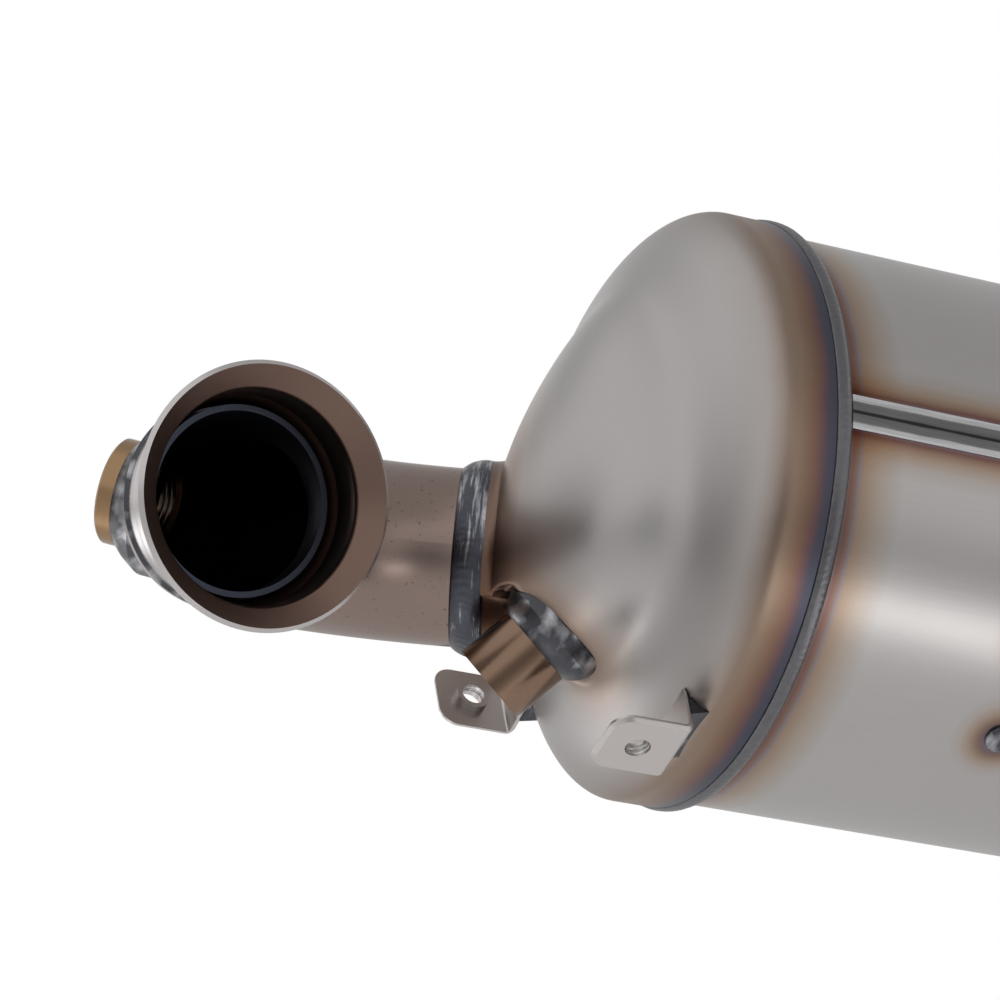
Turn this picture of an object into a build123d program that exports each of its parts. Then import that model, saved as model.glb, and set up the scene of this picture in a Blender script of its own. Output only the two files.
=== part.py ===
"""Diesel particulate filter: a rolled can between two end cones, fed by a bent inlet pipe.

X runs along the can's axis towards the outlet, Z is up, and the inlet faces -Y.
The origin is the centre of the outlet pipe's open end. Sizes are in millimetres.
"""
from build123d import *
from math import acos, atan2, cos, degrees, exp, hypot, pi, radians, sin, sqrt, tan
import os

# Can, rolled from sheet and closed by one straight seam
can_od = 155.0
can_wall = 1.5
can_visible_length = 232.0      # between the toes of the two rim welds
can_insertion = 12.0            # how far the can reaches inside each cone's skirt

# Filter brick, its mat and the mesh rings that guard the mat's edges
filter_diameter = 143.8
filter_length = 203.2
seal_ring_width = 8.0
seal_ring_gap = 0.3             # between a ring and the mat's edge

# End cones
cone_wall = 2.0
cone_slip_gap = 0.4             # between the can and the skirt that slides over it
cone_skirt_edge = 2.0           # from the weld's toe on the can to the skirt's edge
cone_skirt_length = 16.0        # from the weld's toe on the can to the end of the straight skirt

# Inlet cone: a shallow domed head with an offset tower that rises to the neck
dome_height = 28.9              # from the end of the skirt to the dome's apex
dome_reach = 116.2              # the dome's half width, past the apex on the far side
dome_lean = 12.2                # how far the apex lies above the can's axis
tower_base_height = 12.8        # above the rim weld's toe
tower_base_radius = 57.7
tower_base_offset = (6.5, 6.4)  # Y and Z of the base's centre
tower_bow = (2.0, 5.9)          # how far the tower's centre line bows out at half height
tower_top_radius = 24.3
tower_top_depth = 5.5           # from the neck's weld plane to the top of the tower
tower_roundness = 1.63          # 1 is a straight cone, 2 is an ellipsoid
tower_lean_power = 1.8          # how soon the tower's centre leaves the neck's
tower_bulge = 17.0              # how far the tower swells on its tap's side, at half height
tower_bulge_angle = 210.0       # round the tower, from +Y upwards
tower_bulge_width = 48.0        # degrees to where the swelling is well past
tower_bulge_power = 1.5         # higher keeps the swelling closer to half height
blend_power = 18.0              # higher is a sharper crease between dome and tower
loft_sections = 12
outline_points = 24
loft_lead = 1.5                 # straight stretch that carries the skirt into the dome
neck_position = (58.7, 19.7, -20.4)     # weld plane: height above the rim, then Y and Z
collar_length = 13.0

# Bent inlet pipe, measured from the neck to the mouth
pipe_od = 48.0
pipe_wall = 1.5
pipe_clearance = 0.25
pipe_insertion = 9.0
pipe_yaw = 25.0                 # from the can's axis, in plan
pipe_dip = 2.8                  # below the horizontal
bend_lead = 3.6                 # straight pipe between the neck's weld plane and the bend
bend_radius = 59.0
inlet_lean = 5.4                # from square to the can's axis

# Flared inlet socket on the pipe's free end, measured down from its rim
socket_rim_radius = 32.4
socket_bore_radius = 26.7
socket_wall = 1.5
socket_flare_depth = 5.5
socket_pipe_depth = 16.6        # from the rim down to the pipe's end
socket_bore_depth = 16.0
socket_taper_length = 5.0
socket_seat_length = 5.0
socket_clearance = 0.25         # between the seat and the pipe

# Threaded boss on the bend, for a sensor
elbow_boss_radius = 14.0
elbow_boss_bore = 8.25          # minor radius of M18x1.5
elbow_boss_height = 8.1         # end face above the pipe's outer surface
elbow_boss_reach = 7.0          # how far it passes below that surface
elbow_boss_angle = 79.0         # along the bend, from the neck
elbow_boss_roll = 11.0          # turned down round the pipe
elbow_boss_fit = 0.1            # between the boss and its hole in the pipe

# Threaded bosses on the cones, for the two pressure taps
tap_boss_radius = 11.2
tap_boss_bore = 6.25            # minor radius of M14x1.5
tap_boss_length = 21.0
tap_boss_thread_chamfer = 1.0
tap_pocket_radius = 16.5
tap_pocket_draft = 25.0         # of a pocket's side, from the boss's axis
tap_pocket_depth = 2.0          # below the plain outlet cone
inlet_tap_seat = (48.6, -13.5, -40.8)   # height above the rim, then Y and Z
inlet_tap_axis = (-0.599, 0.321, -0.734)
tap_hole_radius = 7.5           # through the cone, under the boss

# Heat shield brackets on the inlet cone, each a folded tab with a drawn threaded hole
bracket_thickness = 1.6
bracket_width = 20.5
bracket_free_length = 10.0      # from the hole to the free end
bracket_leg_length = 11.7       # from the hole to the back of the leg
bracket_leg_depth = 20.0        # enough to reach the cone, which trims it
bracket_corner_radius = 5.5
bracket_fold_radius = 1.0
bracket_thread_radius = 3.35    # minor radius of M8x1.25
bracket_collar_radius = 4.7
bracket_collar_height = 2.4
bracket_mouth_chamfer = 0.9
bracket_weld_leg = 6.0
bracket_weld_inset = 0.75       # from the leg's edges to the ends of its weld
bracket_places = {              # hole's height, distance from the can's axis and angle
    "front_shield_bracket": (35.9, 86.3, -35.2),
    "rear_shield_bracket": (37.5, 86.3, 51.5),
}

# Hanger bracket on the can, placed by its distance from the inlet rim weld
hanger_start = 64.5
hanger_foot_length = 30.0
hanger_thickness = 3.0
hanger_angles = (-72.0, -44.0)  # round the can from straight down, towards +Y
hanger_lug_height = 34.0
hanger_hole_radius = 4.5
hanger_hole_height = 20.0
hanger_weld_radius = 4.2
hanger_weld_height = 1.3
hanger_weld_offset = 2.0        # from the foot's edge to the weld's centre
hanger_weld_inset = 3.0         # degrees in from the foot's corners

# Welds
rim_weld_width = 5.3
rim_weld_crown = 2.1
neck_weld_pipe_leg = 5.6
neck_weld_cone_leg = 3.4
neck_weld_crown = 1.5
socket_weld_leg = 3.2
boss_weld_leg = 4.0
tap_weld_height = 5.5
tap_weld_root = 4.0             # how deep the bead fills the cone's curve beside the seat
seam_gap = 1.0                  # between the edges of the rolled can
seam_width = 9.4
seam_crown = 0.35
seam_angle = -105.2             # round the can from straight down, towards +Y

# Plain outlet
outlet_cone_length = 58.0       # from the rim weld's toe to the neck
outlet_skirt_length = 20.0      # from the rim weld's toe to the end of the straight skirt
outlet_pipe_length = 50.0       # clear of the neck
outlet_spigot_length = 42.0     # sized a little wider, for a clamped sleeve
outlet_spigot_swell = 0.3
outlet_spigot_taper = 1.5
outlet_shoulder_radius = 8.0
outlet_tap_angle = -20.0        # round the can from straight down, towards +Y
outlet_tap_share = 0.5          # along the cone's slope

# Places that follow from the sizes above
can_radius = can_od / 2
skirt_radius = can_radius + cone_slip_gap + cone_wall
pipe_radius = pipe_od / 2
collar_radius = pipe_radius + pipe_clearance + cone_wall
can_bore_radius = can_radius - can_wall
filter_radius = filter_diameter / 2
outlet_neck_x = -outlet_pipe_length
outlet_toe_x = outlet_neck_x - outlet_cone_length
inlet_toe_x = outlet_toe_x - can_visible_length


def inlet_point(height, y, z):
    """A point given by its height above the inlet rim weld's toe, towards the inlet."""
    return Vector(inlet_toe_x - height, y, z)


def round_can(angle):
    """The direction away from the can's axis, turned from straight down towards +Y."""
    return Vector(0, sin(radians(angle)), -cos(radians(angle)))


towards_inlet = Vector(-1, 0, 0)
towards_outlet = Vector(1, 0, 0)
neck = inlet_point(*neck_position)
pipe_dir = Vector(-cos(radians(pipe_yaw)) * cos(radians(pipe_dip)),
                  sin(radians(pipe_yaw)) * cos(radians(pipe_dip)),
                  -sin(radians(pipe_dip)))
mouth_dir = Vector(sin(radians(inlet_lean)), -cos(radians(inlet_lean)), 0)
bend_turn = acos(pipe_dir.dot(mouth_dir))
bend_inward = (mouth_dir - pipe_dir * mouth_dir.dot(pipe_dir)).normalized()
bend_start = neck + pipe_dir * bend_lead
bend_centre = bend_start + bend_inward * bend_radius


def bend_outward(turn):
    """The direction away from the bend's centre, at an angle along the bend."""
    return pipe_dir * sin(turn) - bend_inward * cos(turn)


def bend_point(turn):
    return bend_centre + bend_outward(turn) * bend_radius


pipe_end = bend_point(bend_turn)
mouth = pipe_end + mouth_dir * socket_pipe_depth
elbow_boss_centre = bend_point(radians(elbow_boss_angle))
elbow_boss_axis = (bend_outward(radians(elbow_boss_angle)) * cos(radians(elbow_boss_roll))
                   + pipe_dir.cross(bend_inward).normalized() * sin(radians(elbow_boss_roll)))
inlet_tap = (inlet_point(*inlet_tap_seat), Vector(*inlet_tap_axis).normalized())


def along(point, direction):
    return Plane(origin=point, z_dir=direction)


def rod(point, direction, radius, length):
    """A round bar that starts at the point and runs along the direction."""
    return extrude(along(point, direction) * Circle(radius), length)


def turned(point, direction, outline, rounding=0):
    """The solid that a closed outline of (radius, height) points sweeps about an axis."""
    corners = [(r, 0, h) for r, h in outline]
    profile = make_face(FilletPolyline(*corners, radius=rounding, close=True))
    return along(point, direction) * revolve(profile, Axis.Z)


def ring(point, direction, inner, outer, length):
    return turned(point, direction, [(inner, 0), (outer, 0), (outer, length), (inner, length)])


def bead(point, direction, toes, roots, crown):
    """A weld bead turned about an axis: two toes, the root corners between them, a round top."""
    (r0, h0), (r1, h1) = toes
    length = hypot(r1 - r0, h1 - h0)
    top = ((r0 + r1) / 2 + crown * abs(h1 - h0) / length,
           (h0 + h1) / 2 + crown * (r0 - r1) / length * (1 if h1 > h0 else -1))
    below = Polyline(*[(r, 0, h) for r, h in [toes[0], *roots, toes[1]]])
    over = ThreePointArc((r1, 0, h1), (top[0], 0, top[1]), (r0, 0, h0))
    return along(point, direction) * revolve(make_face(below + over), Axis.Z)


def bend_path():
    """The pipe's centreline: inside the collar, through the bend, to the socket."""
    lead_in = Line(neck - pipe_dir * pipe_insertion, bend_start)
    bend = ThreePointArc(bend_start, bend_point(bend_turn / 2), pipe_end)
    return lead_in + bend


def pipe_body(radius):
    """The bent pipe as a solid bar of the given radius."""
    return sweep(along(neck - pipe_dir * pipe_insertion, pipe_dir) * Circle(radius), bend_path())


# Inlet cone

tower_start = neck - pipe_dir * tower_top_depth


def dome_section(height, inset):
    """Radius and centre of the shallow dome at a height above the rim weld's toe."""
    rise = max(height - cone_skirt_length, 0) / (dome_height - inset)
    width = sqrt(max(1 - rise ** 2, 0))
    return skirt_radius - inset - dome_reach * (1 - width), dome_lean * (1 - width)


def dome_reach_from(start, direction, inset):
    """How far a ray runs inside the dome, found by halving. It is 0 from outside."""

    def inside(point):
        radius, lean = dome_section(inlet_toe_x - point.X, inset)
        return hypot(point.Y, point.Z - lean) < radius

    if not inside(start):
        return 0.0
    near, far = 0.0, can_od
    for _ in range(24):
        middle = (near + far) / 2
        if inside(start + direction * middle):
            near = middle
        else:
            far = middle
    return near


def tower_section(fall, inset):
    """Centre, axis and radius of the tower, from its top at 0 to its base at 1."""
    top = tower_start - pipe_dir * inset
    base = inlet_point(tower_base_height, *tower_base_offset)
    drift = 1 - (1 - fall) ** tower_lean_power
    bow = 4 * fall * (1 - fall)
    centre = Vector(top.X + (base.X - top.X) * fall,
                    top.Y + (base.Y - top.Y) * drift + tower_bow[0] * bow,
                    top.Z + (base.Z - top.Z) * drift + tower_bow[1] * bow)
    spread = (1 - (1 - fall) ** tower_roundness) ** (1 / tower_roundness)
    radius = tower_top_radius + (tower_base_radius - tower_top_radius) * spread - inset
    axis = (pipe_dir * (1 - fall) + towards_inlet * fall).normalized()
    return centre, axis, radius


def tower_swelling(fall, angle):
    """How far the tower stands out of its round shape, on the side of its tap."""
    off = degrees(angle) - tower_bulge_angle
    return (tower_bulge * sin(pi * fall) ** tower_bulge_power
            * exp(-(off / tower_bulge_width) ** 2))


def cone_outline(fall, inset):
    """The head's closed outline at one level: dome and tower, blended smoothly."""
    centre, axis, round_radius = tower_section(fall, inset)
    across = axis.cross(Vector(0, 0, 1)).normalized()
    up = across.cross(axis)
    points = []
    for step in range(outline_points):
        angle = 2 * pi * step / outline_points
        ray = across * cos(angle) + up * sin(angle)
        dome_radius = dome_reach_from(centre, ray, inset)
        tower_radius = round_radius + tower_swelling(fall, angle)
        radius = (dome_radius ** blend_power + tower_radius ** blend_power) ** (1 / blend_power)
        points.append(centre + ray * radius)
    return make_face(Spline(*points, periodic=True))


def cone_body(inset=0.0):
    """The stamped head as a closed solid, or the space inside it when inset by the wall."""
    foot = cone_skirt_edge - (1 if inset else 0)
    skirt = rod(inlet_point(foot, 0, 0), towards_inlet, skirt_radius - inset,
                tower_base_height - foot)
    levels = [1 - cos(pi / 2 * step / loft_sections) for step in range(loft_sections)]
    outlines = [cone_outline(fall, inset) for fall in levels]
    rims = [along(inlet_point(height, 0, 0), towards_inlet) * Circle(skirt_radius - inset)
            for height in (tower_base_height + loft_lead, tower_base_height)]
    return skirt + loft(outlines + rims)


def tap_pocket(seat, axis, inset=0.0):
    """The cut that leaves a flat, dished seat for a tap boss."""
    spread = tap_boss_length * tan(radians(tap_pocket_draft))
    return turned(seat - axis * inset, axis, [
        (0, 0), (tap_pocket_radius - inset, 0),
        (tap_pocket_radius - inset + spread, tap_boss_length), (0, tap_boss_length)])


def head_body(inset=0.0):
    """The head as a closed solid, dished to seat its boss."""
    return cone_body(inset) - tap_pocket(*inlet_tap, inset)


def make_inlet_cone(head):
    """The stamped head, hollowed out, with the collar round its pipe and the hole under its tap."""
    seat, axis = inlet_tap
    collar_start = neck - pipe_dir * collar_length
    shell = head + rod(collar_start, pipe_dir, collar_radius, collar_length)
    shell -= head_body(cone_wall)
    shell -= rod(collar_start, pipe_dir, collar_radius - cone_wall, collar_length)
    return shell - rod(seat - axis * tap_boss_length / 2, axis, tap_hole_radius, tap_boss_length)


def outlet_profile(inset):
    """The plain outlet cone's outline about its axis, as (radius, height) from its rim weld."""
    slope_end = outlet_cone_length - collar_length
    slope = atan2(skirt_radius - collar_radius, slope_end - outlet_skirt_length)
    shift = inset * tan(slope / 2)
    start = cone_skirt_edge - (1 if inset else 0)
    end = outlet_cone_length + (1 if inset else 0)
    return [(0, start), (skirt_radius - inset, start),
            (skirt_radius - inset, outlet_skirt_length - shift),
            (collar_radius - inset, slope_end - shift), (collar_radius - inset, end), (0, end)]


def outlet_body(inset=0.0):
    bends = [0, 0, outlet_shoulder_radius - inset, outlet_shoulder_radius / 2 + inset, 0, 0]
    return turned(Vector(outlet_toe_x, 0, 0), towards_outlet, outlet_profile(inset), bends)


def make_outlet_cone(seat, axis):
    shell = outlet_body() - tap_pocket(seat, axis)
    shell -= outlet_body(cone_wall) - tap_pocket(seat, axis, cone_wall)
    return shell - rod(seat - axis * tap_boss_length / 2, axis, tap_hole_radius, tap_boss_length)


# Can and filter

def make_can():
    """The rolled sheet, with the gap that the seam weld closes."""
    start = Vector(inlet_toe_x - can_insertion, 0, 0)
    length = can_visible_length + 2 * can_insertion
    tube = ring(start, towards_outlet, can_bore_radius, can_radius, length)
    return tube - seam_strip(start, length, seam_gap, can_bore_radius - 1, can_radius + 1)


def seam_strip(start, length, width, inner, outer):
    """A bar along the can, where its sheet's edges meet."""
    section = Plane(origin=start, x_dir=round_can(seam_angle), z_dir=towards_outlet)
    middle = Location(((inner + outer) / 2, 0))
    return extrude(section * (middle * Rectangle(outer - inner, width)), length)


def make_seam_weld():
    start = Vector(inlet_toe_x - can_insertion, 0, 0)
    length = can_visible_length + 2 * can_insertion
    wall = ring(start, towards_outlet, can_bore_radius, can_radius, length)
    root = wall & seam_strip(start, length, seam_gap, can_bore_radius - 1, can_radius + 1)
    crown_start = Vector(inlet_toe_x + seam_crown, 0, 0)
    crown_length = can_visible_length - 2 * seam_crown
    crown = ring(crown_start, towards_outlet, can_radius, can_radius + seam_crown, crown_length)
    crown &= seam_strip(crown_start, crown_length, seam_width, can_radius - 1, can_radius + 1)
    return root + crown


def make_filter_parts():
    """The brick, and round it the mat between its two mesh rings."""
    start = Vector((inlet_toe_x + outlet_toe_x - filter_length) / 2, 0, 0)
    far_ring = start + towards_outlet * (filter_length - seal_ring_width)
    mat_start = seal_ring_width + seal_ring_gap
    return {
        "filter_brick": rod(start, towards_outlet, filter_radius, filter_length),
        "support_mat": ring(start + towards_outlet * mat_start, towards_outlet, filter_radius,
                            can_bore_radius, filter_length - 2 * mat_start),
        "inlet_mesh_ring": ring(start, towards_outlet, filter_radius, can_bore_radius,
                                seal_ring_width),
        "outlet_mesh_ring": ring(far_ring, towards_outlet, filter_radius, can_bore_radius,
                                 seal_ring_width),
    }


# Inlet pipe, its socket and its sensor boss

def make_inlet_pipe():
    pipe = sweep(along(neck - pipe_dir * pipe_insertion, pipe_dir)
                 * (Circle(pipe_radius) - Circle(pipe_radius - pipe_wall)), bend_path())
    hole = rod(elbow_boss_centre, elbow_boss_axis, elbow_boss_radius + elbow_boss_fit, pipe_od)
    return pipe - hole


def make_socket():
    """A pressed collar: a flared rim, a bore wider than the pipe and a seat round the pipe."""
    flare = socket_rim_radius - socket_bore_radius
    seat = pipe_radius + socket_clearance
    bore_end = socket_bore_depth
    seat_start = bore_end + socket_taper_length
    seat_end = seat_start + socket_seat_length
    slope = atan2(flare, socket_flare_depth)
    lip = socket_wall * tan(slope / 2)
    outline = [(socket_rim_radius, 0), (socket_bore_radius, socket_flare_depth),
               (socket_bore_radius, bore_end), (seat, seat_start), (seat, seat_end),
               (seat + socket_wall, seat_end), (seat + socket_wall, seat_start + lip / 2),
               (socket_bore_radius + socket_wall, bore_end + lip / 2),
               (socket_bore_radius + socket_wall, socket_flare_depth + lip),
               (socket_rim_radius + socket_wall * cos(slope), socket_wall * sin(slope))]
    bends = [0, 2, 1, 1, 0, 0, 2, 2, 3, 0]
    return turned(mouth, -mouth_dir, outline, bends) - pipe_body(pipe_radius + socket_clearance)


def make_socket_weld():
    """The bead behind the socket. The pipe curves there, so it is cut to the pipe's shape."""
    leg = socket_weld_leg
    edge = socket_bore_depth + socket_taper_length + socket_seat_length
    outside = pipe_radius + socket_clearance + socket_wall
    inside = pipe_radius - leg
    outline = [(inside, edge), (outside, edge), (outside + leg / 4, edge + leg / 4),
               (outside, edge + 0.7 * leg), (outside - leg, edge + 1.2 * leg),
               (inside, edge + 1.2 * leg)]
    return turned(mouth, -mouth_dir, outline, [0, 0, 0, leg / 3, leg / 3, 0]) - pipe_body(pipe_radius)


def make_elbow_boss():
    start = elbow_boss_centre + elbow_boss_axis * (pipe_radius - elbow_boss_reach)
    length = elbow_boss_reach + elbow_boss_height
    boss = ring(start, elbow_boss_axis, elbow_boss_bore, elbow_boss_radius, length)
    return chamfer(boss.faces().sort_by(Axis((0, 0, 0), elbow_boss_axis))[-1].edges(), 0.6)


def make_elbow_boss_weld():
    """The fillet round the boss, thin on the pipe's crest and deep at its sides."""
    crest = elbow_boss_centre + elbow_boss_axis * pipe_radius
    leg = boss_weld_leg
    outline = [(elbow_boss_radius, -2 * leg), (elbow_boss_radius + 1.4 * leg, -2 * leg),
               (elbow_boss_radius + 1.4 * leg, -leg), (elbow_boss_radius + 0.7 * leg, 0.1 * leg),
               (elbow_boss_radius, 0.9 * leg)]
    ring_of_weld = turned(crest, elbow_boss_axis, outline, [0, 0, leg / 3, leg / 3, 0])
    return ring_of_weld - pipe_body(pipe_radius)


# Pressure taps on the cones

def make_tap_boss(seat, axis):
    boss = ring(seat, axis, tap_boss_bore, tap_boss_radius, tap_boss_length)
    mouth_edge = boss.faces().sort_by(Axis((0, 0, 0), axis))[-1].edges()
    return chamfer(mouth_edge.sort_by(SortBy.LENGTH)[0], tap_boss_thread_chamfer)


def make_tap_weld(seat, axis, cone):
    """The bead round a tap boss, trimmed by the cone."""
    leg = boss_weld_leg
    whole = bead(seat, axis, [(tap_boss_radius + leg, 0), (tap_boss_radius, tap_weld_height)],
                 [(tap_boss_radius + leg, -tap_weld_root), (tap_boss_radius, -tap_weld_root)],
                 leg / 6)
    return whole - cone


# Brackets on the inlet cone

def bracket_plane(height, distance, angle):
    """The tab's outer face at its hole: X towards the inlet, Z away from the can's axis."""
    outward = round_can(angle)
    return Plane(origin=inlet_point(height, 0, 0) + outward * distance,
                 x_dir=towards_inlet, z_dir=outward)


def make_bracket(place, head):
    """A tab folded into a leg that ends on the cone, with a drawn and threaded hole."""
    depth = bracket_leg_depth
    folds = Plane.XZ * make_face(FilletPolyline(
        (bracket_free_length, 0), (-bracket_leg_length, 0), (-bracket_leg_length, -depth),
        (bracket_thickness - bracket_leg_length, -depth),
        (bracket_thickness - bracket_leg_length, -bracket_thickness),
        (bracket_free_length, -bracket_thickness), close=True,
        radius=[0, bracket_fold_radius + bracket_thickness, 0, 0, bracket_fold_radius, 0]))
    sheet = extrude(folds, bracket_width / 2, both=True)
    ends = sheet.edges().filter_by(Axis.Z).group_by(Axis.X)[-1]
    sheet = fillet(ends, bracket_corner_radius)
    sheet += Pos(0, 0, -bracket_thickness - bracket_collar_height) * Cylinder(
        bracket_collar_radius, bracket_collar_height,
        align=(Align.CENTER, Align.CENTER, Align.MIN))
    sheet -= Cylinder(bracket_thread_radius, 4 * (bracket_thickness + bracket_collar_height))
    mouth_edge = sheet.edges().filter_by(GeomType.CIRCLE).group_by(Axis.Z)[-1]
    sheet = chamfer(mouth_edge.sort_by(SortBy.LENGTH)[0], bracket_mouth_chamfer)
    return bracket_plane(*place) * sheet - head


def make_bracket_weld(place, head):
    """The weld that fills the corner between the back of the leg and the cone."""
    leg = bracket_weld_leg
    corner = Plane.XZ * make_face(Polyline(
        (-bracket_leg_length, -leg), (-bracket_leg_length - leg, -1.3 * leg),
        (-bracket_leg_length - 1.3 * leg, -2 * leg), (-bracket_leg_length - 1.3 * leg, -3 * leg),
        (-bracket_leg_length, -3 * leg), close=True))
    wedge = extrude(corner, bracket_width / 2 - bracket_weld_inset, both=True)
    return bracket_plane(*place) * wedge - head


# Hanger bracket on the can

def can_sector(start, length, inner, outer):
    """The part of a tube round the can that lies between the hanger's two angles."""
    first, last = hanger_angles
    section = Plane(origin=start, x_dir=round_can(first), z_dir=towards_outlet)
    side = 1 if section.y_dir.dot(round_can(first + 90)) > 0 else -1
    profile = section * make_face(Polyline((inner, 0), (outer, 0), close=False)
                                  + CenterArc((0, 0), outer, 0, side * (last - first))
                                  + Line(polar(outer, side * (last - first)),
                                         polar(inner, side * (last - first)))
                                  + CenterArc((0, 0), inner, 0, side * (last - first)))
    return extrude(profile, length)


def polar(radius, angle):
    return (radius * cos(radians(angle)), radius * sin(radians(angle)))


def make_hanger():
    """A foot that follows the can and a lug that stands up from its outlet end."""
    start = Vector(inlet_toe_x + hanger_start, 0, 0)
    foot = can_sector(start, hanger_foot_length, can_radius, can_radius + hanger_thickness)
    lug_start = start + towards_outlet * (hanger_foot_length - hanger_thickness)
    lug = can_sector(lug_start, hanger_thickness, can_radius, can_radius + hanger_lug_height)
    top = lug.edges().filter_by(Axis.X).sort_by(SortBy.DISTANCE)[-2:]
    lug = fillet(top, hanger_lug_height / 3)
    middle = round_can(sum(hanger_angles) / 2)
    hole_centre = lug_start + middle * (can_radius + hanger_hole_height)
    return foot + lug - rod(hole_centre, towards_outlet, hanger_hole_radius, hanger_thickness)


def make_hanger_welds(hanger):
    """Four tack welds at the foot's corners, each half on the foot's edge."""
    can = rod(Vector(inlet_toe_x, 0, 0), towards_outlet, can_radius, can_visible_length)
    first, last = hanger_angles
    tacks = []
    for along_can in (hanger_start - hanger_weld_offset,
                      hanger_start + hanger_foot_length + hanger_weld_offset):
        for angle in (first + hanger_weld_inset, last - hanger_weld_inset):
            out = round_can(angle)
            foot_point = Vector(inlet_toe_x + along_can, 0, 0) + out * (can_radius - 1)
            tack = rod(foot_point, out, hanger_weld_radius, 1 + hanger_weld_height)
            tack = fillet(tack.faces().sort_by(Axis((0, 0, 0), out))[-1].edges(),
                          hanger_weld_height * 0.9)
            tacks.append(tack - can - hanger)
    return Compound(children=[solid for tack in tacks for solid in tack.solids()])


# Welds round the can's axis, and the outlet

def make_rim_weld(toe, direction):
    """The bead that fills the step between the can and the edge of a cone's skirt."""
    return bead(toe, direction, [(can_radius, 0), (skirt_radius, rim_weld_width)],
                [(can_radius, cone_skirt_edge), (skirt_radius, cone_skirt_edge)], rim_weld_crown)


def make_neck_weld(point, direction):
    """The bead that fills the step between a pipe and the collar round it."""
    return bead(point, direction,
                [(collar_radius, -neck_weld_cone_leg), (pipe_radius, neck_weld_pipe_leg)],
                [(collar_radius, 0), (pipe_radius, 0)], neck_weld_crown)


def make_outlet_pipe():
    """A straight pipe whose free end is sized a little wider."""
    start = outlet_neck_x - pipe_insertion
    steps = [(pipe_radius, start),
             (pipe_radius, -outlet_spigot_length - outlet_spigot_taper),
             (pipe_radius + outlet_spigot_swell, -outlet_spigot_length),
             (pipe_radius + outlet_spigot_swell, 0)]
    inner = [(radius - pipe_wall, x) for radius, x in reversed(steps)]
    return turned(Vector(0, 0, 0), towards_outlet, steps + inner)


def outlet_tap_place():
    """The seat of the tap boss, halfway down the outlet cone's slope, and its axis."""
    (_, _), (_, _), (r0, h0), (r1, h1), *_ = outlet_profile(0)
    slope = atan2(r0 - r1, h1 - h0)
    out = round_can(outlet_tap_angle)
    axis = out * cos(slope) + towards_outlet * sin(slope)
    middle = (towards_outlet * (outlet_toe_x + h0 + (h1 - h0) * outlet_tap_share)
              + out * (r0 + (r1 - r0) * outlet_tap_share))
    return middle - axis * tap_pocket_depth, axis


def make_parts():
    head = head_body()
    inlet_cone = make_inlet_cone(head)
    seat, axis = outlet_tap_place()
    outlet_cone = make_outlet_cone(seat, axis)
    hanger = make_hanger()
    front, rear = bracket_places.values()
    return {
        "filter_can": make_can(),
        "can_seam_weld": make_seam_weld(),
        **make_filter_parts(),
        "inlet_cone": inlet_cone,
        "inlet_rim_weld": make_rim_weld(Vector(inlet_toe_x, 0, 0), towards_inlet),
        "inlet_pipe": make_inlet_pipe(),
        "neck_weld": make_neck_weld(neck, pipe_dir),
        "inlet_socket": make_socket(),
        "socket_weld": make_socket_weld(),
        "elbow_sensor_boss": make_elbow_boss(),
        "elbow_boss_weld": make_elbow_boss_weld(),
        "inlet_tap_boss": make_tap_boss(*inlet_tap),
        "inlet_tap_weld": make_tap_weld(*inlet_tap, inlet_cone),
        "front_shield_bracket": make_bracket(front, head),
        "front_bracket_weld": make_bracket_weld(front, head),
        "rear_shield_bracket": make_bracket(rear, head),
        "rear_bracket_weld": make_bracket_weld(rear, head),
        "hanger_bracket": hanger,
        "hanger_welds": make_hanger_welds(hanger),
        "outlet_cone": outlet_cone,
        "outlet_rim_weld": make_rim_weld(Vector(outlet_toe_x, 0, 0), towards_outlet),
        "outlet_pipe": make_outlet_pipe(),
        "outlet_neck_weld": make_neck_weld(Vector(outlet_neck_x, 0, 0), towards_outlet),
        "outlet_tap_boss": make_tap_boss(seat, axis),
        "outlet_tap_weld": make_tap_weld(seat, axis, outlet_cone),
    }


if __name__ == "__main__":
    os.makedirs("parts", exist_ok=True)
    for name, part in make_parts().items():
        export_step(part, f"parts/{name}.step")
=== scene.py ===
"""Looks of the diesel particulate filter: tinted stainless steel, rippled welds, cut threads."""
import math

import bpy
import numpy as np
from mathutils import Matrix, Vector, noise


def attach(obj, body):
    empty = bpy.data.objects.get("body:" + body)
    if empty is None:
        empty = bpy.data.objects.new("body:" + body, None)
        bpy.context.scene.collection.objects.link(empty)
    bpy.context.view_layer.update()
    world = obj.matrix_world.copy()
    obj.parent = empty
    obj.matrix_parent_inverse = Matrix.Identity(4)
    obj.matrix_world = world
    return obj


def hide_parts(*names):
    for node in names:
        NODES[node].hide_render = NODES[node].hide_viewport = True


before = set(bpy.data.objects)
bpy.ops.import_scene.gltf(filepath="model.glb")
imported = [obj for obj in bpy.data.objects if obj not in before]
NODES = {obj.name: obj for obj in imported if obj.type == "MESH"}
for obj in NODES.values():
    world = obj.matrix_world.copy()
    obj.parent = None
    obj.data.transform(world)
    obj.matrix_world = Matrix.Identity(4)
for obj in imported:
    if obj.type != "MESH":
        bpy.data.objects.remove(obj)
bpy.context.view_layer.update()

MM = 0.001

# Sizes in millimetres, as the part has them
RIM_X = -340.0
CAN_R = 77.5
SKIRT_R = 79.9
RIM_LONG = 5.3
PIPE_R = 24.0
COLLAR_R = 26.25
BEND_R = 59.0
SHEET = 2.0
SEAM_HALF = 4.7
ELBOW_BOSS_TALL = 8.1
TAP_BOSS_TALL = 20.0

# Shield brackets: each hole's distance from the rim and direction round the can
BRACKETS = {"front": (35.9, -35.2), "rear": (37.5, 51.5)}
BRACKET_HOLE_OUT = 86.3

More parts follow.
